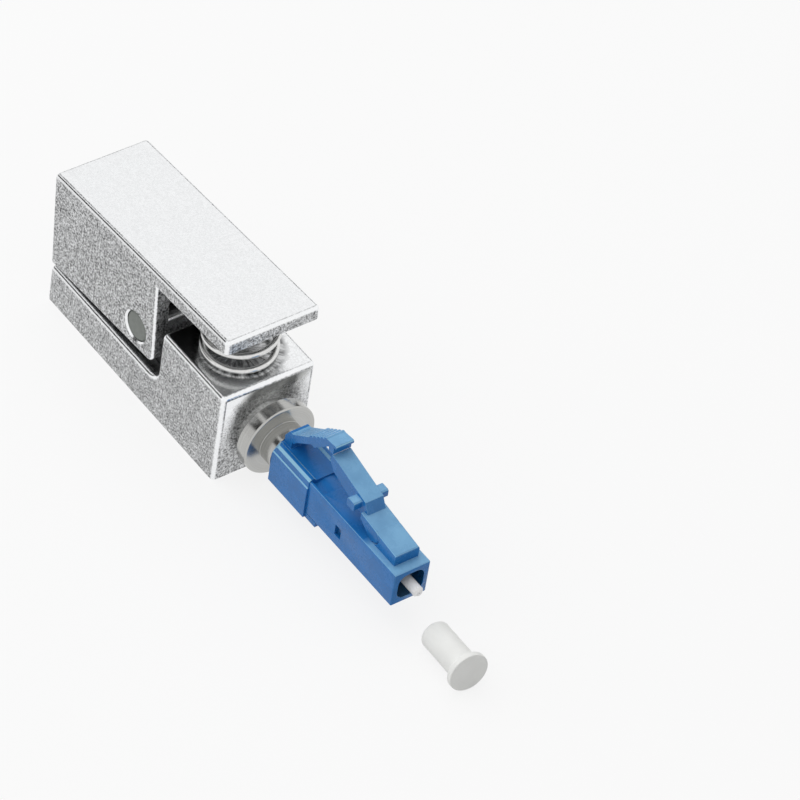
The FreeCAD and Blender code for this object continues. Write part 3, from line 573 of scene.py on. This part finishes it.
# ---------------------------------------------------------------- settings
class CastingSettings(bpy.types.PropertyGroup):
    """Sizes and colours of the clamp's castings."""
    zinc: bpy.props.FloatVectorProperty(
        name="Housing Zinc", description="Plating tone of the housing", subtype="COLOR", size=3,
        min=0, max=1, default=(0.465, 0.470, 0.475))
    lever_zinc: bpy.props.FloatVectorProperty(
        name="Lever Zinc", description="Plating tone of the press lever", subtype="COLOR", size=3,
        min=0, max=1, default=(0.465, 0.470, 0.475))
    grain: bpy.props.FloatProperty(
        name="Grain", description="Size of the casting's sparkling grain in millimetres", min=0.05, max=1,
        default=0.24)
    edge: bpy.props.FloatProperty(
        name="Edge Rounding", description="Radius of the small rounding on crisp edges, in millimetres",
        min=0, max=0.3, default=0.08)


class ClampSettings(bpy.types.PropertyGroup):
    """Sizes and colours of the pads, pin, screw and lever spring."""
    pad: bpy.props.FloatVectorProperty(
        name="Lower Pad", description="Rubber colour of the lower pad", subtype="COLOR", size=3,
        min=0, max=1, default=(0.030, 0.036, 0.045))
    upper_pad: bpy.props.FloatVectorProperty(
        name="Upper Pad", description="Rubber colour of the upper pad", subtype="COLOR", size=3,
        min=0, max=1, default=(0.050, 0.056, 0.066))
    pin: bpy.props.FloatVectorProperty(
        name="Pin Steel", description="Dull steel tone of the hinge pin", subtype="COLOR", size=3,
        min=0, max=1, default=(0.21, 0.225, 0.21))
    spring_turns: bpy.props.FloatProperty(
        name="Spring Turns", description="Turns of the lever spring, closed ends among them", min=2, max=6,
        default=3.25)
    spring_wire: bpy.props.FloatProperty(
        name="Spring Wire", description="Wire diameter of the lever spring, in millimetres",
        min=0.3, max=1.2, default=0.7)
    thread_pitch: bpy.props.FloatProperty(
        name="Thread Pitch", description="Pitch of the set screw's thread, in millimetres", min=0.2, max=1,
        default=0.5)


class PlugSettings(bpy.types.PropertyGroup):
    """Colours of the plug, its collar and its cap."""
    plastic: bpy.props.FloatVectorProperty(
        name="Plug Plastic", description="Colour of the plug's mouldings", subtype="COLOR", size=3,
        min=0, max=1, default=(0.012, 0.155, 0.450))
    collar: bpy.props.FloatVectorProperty(
        name="Collar Steel", description="Tone of the turned collar", subtype="COLOR", size=3, min=0, max=1,
        default=(0.51, 0.51, 0.495))
    ceramic: bpy.props.FloatVectorProperty(
        name="Ferrule Ceramic", description="Colour of the ferrule", subtype="COLOR", size=3, min=0, max=1,
        default=(0.92, 0.915, 0.92))
    cap: bpy.props.FloatVectorProperty(
        name="Dust Cap", description="Colour of the dust cap", subtype="COLOR", size=3, min=0, max=1,
        default=(0.83, 0.835, 0.815))
    edge: bpy.props.FloatProperty(
        name="Edge Rounding", description="Radius of the rounding on moulded edges, in millimetres",
        min=0, max=0.2, default=0.14)


class StudioSettings(bpy.types.PropertyGroup):
    """Floor, light and camera."""
    floor: bpy.props.FloatVectorProperty(
        name="Floor", description="Colour of the floor", subtype="COLOR", size=3, min=0, max=1,
        default=(0.76, 0.76, 0.76))
    glow: bpy.props.FloatProperty(
        name="Floor White",
        description="Share of pure white that the eye and polished metal see in the floor",
        min=0, max=1, default=0.82)
    sky: bpy.props.FloatProperty(
        name="Room Light", description="Strength of the even light of the room", min=0, max=3, default=0.48)
    key: bpy.props.FloatProperty(
        name="Key Lamp", description="Power of the large soft lamp in watts", min=0, max=20, default=5.2,
        unit="POWER")
    lens: bpy.props.FloatProperty(
        name="Lens", description="Focal length of the camera in millimetres", min=20, max=400,
        default=225.0)


LAMP_WAY = (-0.50, -0.25, 0.83)    # from the adapter to the lamp
LAMP_AIM = (0.012, 0, 0.01)
LAMP_DISTANCE = 0.62
CAMERA_PLACE = (0.29972, -0.24433, 0.37758)
CAMERA_AZIMUTH = 137.168           # degrees, the way it looks, from X towards Y
CAMERA_DOWN = 44.276
CAMERA_ROLL = 9.881

# White and dark panels of the room, as seen in polished metal: place round the fibre axis and brightness.
ROOM_PANELS = (
    (0.00, 0.04), (0.07, 0.04), (0.12, 1.00), (0.44, 1.00), (0.48, 0.02), (0.58, 0.02),
    (0.61, 1.00), (0.68, 1.00), (0.72, 0.02), (0.84, 0.02), (0.88, 0.90), (1.00, 0.90),
)

SETTINGS = {
    "adapter_castings": CastingSettings,
    "adapter_clamp": ClampSettings,
    "adapter_plug": PlugSettings,
    "adapter_studio": StudioSettings,
}


# ---------------------------------------------------------------- operators
class ADAPTER_OT_studio(bpy.types.Operator):
    """Floor, room light, one soft lamp and camera"""
    bl_idname = "adapter.studio"
    bl_label = "Studio"

    def execute(self, context):
        settings = context.scene.adapter_studio
        self.floor(settings)
        self.room(context, settings)
        self.lamp(context, settings)
        self.camera(context, settings)
        context.scene.view_settings.view_transform = "Standard"
        return {"FINISHED"}

    @staticmethod
    def floor(settings):
        material, board, shader, place = new_finish("studio_floor")
        grain = board.noise(place, 40, 2.0, 0.5)
        tone = colour(settings.floor)
        feed(board, shader, Base_Color=board.blend(grain, shade(tone, 0.995), tone), Roughness=0.9,
             Specular_IOR_Level=0.1)
        ray = board.add("ShaderNodeLightPath", out="Is Camera Ray")
        seen = (ray + board.also(ray, "Is Glossy Ray") + board.also(ray, "Is Transmission Ray")).clamp()
        white = board.add("ShaderNodeEmission", {}, {"Color": (1, 1, 1, 1), "Strength": 1.0})
        shown = board.add("ShaderNodeMixShader", {},
                          {0: seen * settings.glow, 1: Wire(board, shader.outputs[0]), 2: white})
        output = board.tree.nodes["Material Output"]
        board.tree.links.new(shown.socket, output.inputs["Surface"])
        shape = bmesh.new()
        bmesh.ops.create_grid(shape, x_segments=8, y_segments=8, size=3.0)
        floor = bpy.data.objects.new("studio_floor", to_mesh(shape, "studio_floor", material))
        bpy.context.scene.collection.objects.link(floor)
        low = CAD_BOX[0][2]
        for vert in floor.data.vertices:
            vert.co.z = low - 0.02 * MM

    @staticmethod
    def room(context, settings):
        world = bpy.data.worlds.new("studio_room")
        world.use_nodes = True
        board = Board(world.node_tree)
        back = world.node_tree.nodes["Background"]
        ray = board.add("ShaderNodeLightPath", out="Is Camera Ray")
        glossy = board.also(ray, "Is Glossy Ray") + board.also(ray, "Is Transmission Ray")
        mirrored = glossy.clamp() * (1 - ray)
        way = board.add("ShaderNodeSeparateXYZ", {}, {0: board.add("ShaderNodeTexCoord", out="Generated")})
        turn = board.also(way, 2).turn_from(board.also(way, 1)) / math.pi
        walls = board.add("ShaderNodeValToRGB", {"stops": ROOM_PANELS}, {"Fac": turn})
        beside = ((-0.28 - way) * 8).clamp()
        tone = board.blend(mirrored * beside, (1, 1, 1), walls)
        strength = ray + mirrored + (1 - (ray + glossy).clamp()) * settings.sky
        feed(board, back, Color=tone, Strength=strength)
        context.scene.world = world

    @staticmethod
    def lamp(context, settings):
        data = bpy.data.lights.new("key_lamp", "AREA")
        data.shape = "RECTANGLE"
        data.size = data.size_y = 1.20
        data.energy = settings.key
        lamp = bpy.data.objects.new("key_lamp", data)
        way = Vector(LAMP_WAY).normalized()
        lamp.location = Vector(LAMP_AIM) + way * LAMP_DISTANCE
        lamp.rotation_euler = way.to_track_quat("Z", "Y").to_euler()
        lamp.visible_glossy = False
        context.scene.collection.objects.link(lamp)

    @staticmethod
    def camera(context, settings):
        data = bpy.data.cameras.new("studio_camera")
        data.lens = settings.lens
        data.sensor_width = 36.0
        data.clip_start = 0.01
        data.clip_end = 10.0
        camera = bpy.data.objects.new("studio_camera", data)
        turn = Matrix.Rotation(math.radians(CAMERA_AZIMUTH - 90), 4, "Z")
        tilt = Matrix.Rotation(math.radians(90 - CAMERA_DOWN), 4, "X")
        roll = Matrix.Rotation(math.radians(CAMERA_ROLL), 4, "Z")
        camera.matrix_world = Matrix.Translation(CAMERA_PLACE) @ turn @ tilt @ roll
        context.scene.collection.objects.link(camera)
        context.scene.camera = camera


class ADAPTER_OT_castings(bpy.types.Operator):
    """Housing and press lever with their plated finish"""
    bl_idname = "adapter.castings"
    bl_label = "Castings"

    def execute(self, context):
        settings = context.scene.adapter_castings
        # The housing's ring round the spring's foot is painted dark with streaks: painted shade.
        zinc = plated_casting("housing_zinc", colour(settings.zinc), settings.grain, HOUSING_HOLLOW,
                              streaked_shaded_ring=SPRING_FOOT)
        lever_zinc = plated_casting("lever_zinc", colour(settings.lever_zinc), settings.grain,
                                    LEVER_HOLLOW, seed=0.31)
        dressed("housing", "clamp", "cast_zinc", zinc, settings.edge)
        dressed("lever", "press_lever", "lever_zinc", lever_zinc, settings.edge)
        return {"FINISHED"}


class ADAPTER_OT_clamp_parts(bpy.types.Operator):
    """Hinge pin, pads and set screw"""
    bl_idname = "adapter.clamp_parts"
    bl_label = "Pin, Pads and Screw"

    def execute(self, context):
        settings = context.scene.adapter_clamp
        low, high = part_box("hinge_pin")
        radius = (high.x - low.x) / 2 / MM
        y0, y1 = low.y / MM, high.y / MM
        centre = ((low.x + high.x) / 2, (low.z + high.z) / 2)
        pin = turned("hinge_pin_finished", [
            (y0, 0), (y0, radius * 0.55), (y0 + 0.03, radius - 0.2), (y0 + 0.2, radius),
            (y1 - 0.2, radius), (y1 - 0.03, radius - 0.2), (y1, radius * 0.55), (y1, 0),
        ], dull_metal("pin_steel", colour(settings.pin)), centre)
        round_edges(link("hinge_pin_finished", pin, "clamp", "pin_steel", "hinge_pin"), 0.04)
        dressed("lower_pad", "clamp", "pad", rubber_pad("lower_pad_rubber", colour(settings.pad)), 0.08)
        dressed("upper_pad", "press_lever", "upper_pad",
                rubber_pad("upper_pad_rubber", colour(settings.upper_pad)), 0.08)
        screw = dull_metal("blackened_steel", (0.10, 0.10, 0.105), 0.38)
        dressed("set_screw", "clamp", "screw_steel", screw, 0.05)
        return {"FINISHED"}


class ADAPTER_OT_wires(bpy.types.Operator):
    """Lever spring, ferrule spring and the screw hole's thread"""
    bl_idname = "adapter.wires"
    bl_label = "Springs and Thread"

    def execute(self, context):
        settings = context.scene.adapter_clamp
        tree = wound_wire_tree()
        steel = drawn_wire("spring_steel", (0.80, 0.80, 0.79))
        low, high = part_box("lever_spring")
        wire = settings.spring_wire / 2 * MM
        mean = (high.y - low.y) / 2 - wire
        centre = Vector(((low.x + high.x) / 2, (low.y + high.y) / 2, low.z))
        lean = math.tan(math.radians(REST_TILT))
        height = high.z - low.z - mean * lean
        mesh = wound_wire("lever_spring_finished", tree, Matrix.Translation(centre),
                          turns=settings.spring_turns, mean_radius=mean, wire_radius=wire, height=height,
                          lean=-lean, closed_turns=0.5, start_angle=math.radians(150), steps=320, sides=24,
                          material=steel)
        spring = link("lever_spring_finished", mesh, "clamp", "spring_steel", "lever_spring")
        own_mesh(spring)
        low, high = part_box("ferrule_spring")
        wire = 0.14 * MM
        mean = (high.y - low.y) / 2 - wire
        along = Matrix.Translation((low.x, 0, FIBRE_Z)) @ Matrix.Rotation(math.radians(90), 4, "Y")
        mesh = wound_wire("ferrule_spring_finished", tree, along, turns=6.0, mean_radius=mean,
                          wire_radius=wire, height=high.x - low.x, lean=0.0, closed_turns=0.5, steps=420,
                          sides=16, material=steel)
        coil = link("ferrule_spring_finished", mesh, "clamp", "spring_steel", "ferrule_spring")
        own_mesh(coil)
        self.thread(tree, settings)
        return {"FINISHED"}

    @staticmethod
    def thread(tree, settings):
        low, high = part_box("set_screw")
        zinc = bpy.data.materials["housing_zinc"]
        radius = (high.x - low.x) / 2
        start = Vector(((low.x + high.x) / 2, high.y + 0.1 * MM, (low.z + high.z) / 2))
        length = THREAD_END * MM - start.y
        along = Matrix.Translation(start) @ Matrix.Rotation(math.radians(-90), 4, "X")
        mesh = wound_wire("screw_hole_thread", tree, along, turns=length / (settings.thread_pitch * MM),
                          mean_radius=radius + 0.02 * MM, wire_radius=0.13 * MM, height=length, lean=0.0,
                          closed_turns=0.0, steps=360, sides=10, material=zinc)
        link("screw_hole_thread", mesh, "clamp", "cast_zinc")


class ADAPTER_OT_collar(bpy.types.Operator):
    """Turned steel collar and the fibre guide behind it"""
    bl_idname = "adapter.collar"
    bl_label = "Collar and Guide"

    def execute(self, context):
        settings = context.scene.adapter_plug
        steel = turned_steel("collar_steel", colour(settings.collar))
        dressed("collar", "clamp", "collar_steel", steel, 0.05)
        dressed("guide_funnel", "clamp", "guide_plastic",
                moulded_plastic("guide_plastic", (0.72, 0.72, 0.70), 0.4, 0.04), 0.05)
        dressed("guide_tube", "clamp", "guide_steel",
                turned_steel("guide_steel", (0.66, 0.66, 0.66), 0.3, 0.22), 0.03)
        return {"FINISHED"}


class ADAPTER_OT_plug(bpy.types.Operator):
    """The plug's mouldings: rear body, front housing, latch and trigger"""
    bl_idname = "adapter.plug"
    bl_label = "Plug Mouldings"

    def execute(self, context):
        settings = context.scene.adapter_plug
        tone = colour(settings.plastic)
        # Painted top light from 36.5 mm forward along X, painted highlight on edges and painted shade in
        # the bore.
        blue = moulded_plastic("plug_blue", tone, painted_light=0.4, painted_light_from=36.5)
        arm_blue = moulded_plastic("arm_blue", tone, painted_light=0.4)
        pivots = {joint["name"]: joint["pos_m"] for joint in frame["joints"] if "pos_m" in joint}
        by_root = self.by_root(pivots)
        for node in ("rear_body", "front_housing"):
            dressed(node, "clamp", "blue_plastic", blue, settings.edge, by_root, 14)
        for node, joint, radius, fall, _ in ROOTS:
            x, _, z = pivots[joint]
            dressed(node, node, "blue_plastic", arm_blue, settings.edge, by_root, 14,
                    swell=swollen_root((x, z), radius, ROOT_GAP, fall))
        stop = moulded_plastic("stop_plastic", shade(tone, 0.6))
        dressed("spring_stop", "clamp", "blue_plastic", stop, 0.03)
        return {"FINISHED"}

    @staticmethod
    def by_root(pivots):
        """Picks the edges round the two bending roots, which stay crisp so that the seams stay fine."""
        places = [(pivots[joint], reach * MM) for _, joint, _, _, reach in ROOTS]

        def test(edge):
            middle = (edge.verts[0].co + edge.verts[1].co) / 2
            return any(math.hypot(middle.x - p[0], middle.z - p[2]) < reach for p, reach in places)
        return test


class ADAPTER_OT_ferrule(bpy.types.Operator):
    """Ceramic ferrule and its brass holder"""
    bl_idname = "adapter.ferrule"
    bl_label = "Ferrule"

    def execute(self, context):
        settings = context.scene.adapter_plug
        dressed("ferrule", "ferrule", "zirconia",
                glazed_ceramic("ferrule_ceramic", colour(settings.ceramic)), 0.02)
        dressed("ferrule_holder", "ferrule", "holder_brass",
                turned_steel("holder_brass", (0.72, 0.55, 0.24), 0.2, 0.25), 0.03)
        return {"FINISHED"}


class ADAPTER_OT_dust_cap(bpy.types.Operator):
    """Soft dust cap, lying in front of the plug"""
    bl_idname = "adapter.dust_cap"
    bl_label = "Dust Cap"

    def execute(self, context):
        settings = context.scene.adapter_plug
        soft = moulded_plastic("cap_plastic", colour(settings.cap), 0.5, 0.04)
        dressed("dust_cap", "clamp", "cap_plastic", soft, 0.12)
        return {"FINISHED"}


OPERATORS = (
    ADAPTER_OT_studio, ADAPTER_OT_castings, ADAPTER_OT_clamp_parts, ADAPTER_OT_wires, ADAPTER_OT_collar,
    ADAPTER_OT_plug, ADAPTER_OT_ferrule, ADAPTER_OT_dust_cap,
)


class ADAPTER_PT_panel(bpy.types.Panel):
    """Lists the adapter's pieces and their settings"""
    bl_label = "Adapter"
    bl_idname = "ADAPTER_PT_panel"
    bl_space_type = "VIEW_3D"
    bl_region_type = "UI"
    bl_category = "Adapter"

    def draw(self, context):
        for name, group in SETTINGS.items():
            box = self.layout.box()
            for key in group.__annotations__:
                box.prop(getattr(context.scene, name), key)
        for operator in OPERATORS:
            self.layout.operator(operator.bl_idname)


CLASSES = (*SETTINGS.values(), *OPERATORS, ADAPTER_PT_panel)


def register():
    """Registers the classes and the settings kept on the scene."""
    for item in CLASSES:
        bpy.utils.register_class(item)
    for name, group in SETTINGS.items():
        setattr(bpy.types.Scene, name, bpy.props.PointerProperty(type=group))


def unregister():
    """Takes the settings and the classes away again."""
    for name in SETTINGS:
        delattr(bpy.types.Scene, name)
    for item in reversed(CLASSES):
        bpy.utils.unregister_class(item)


def corners(pair):
    """A box's two corners as plain lists."""
    return [list(map(float, corner)) for corner in pair]


def main():
    register()
    for operator in OPERATORS:
        group, name = operator.bl_idname.split(".")
        getattr(getattr(bpy.ops, group), name)()


if __name__ == "__main__":
    main()
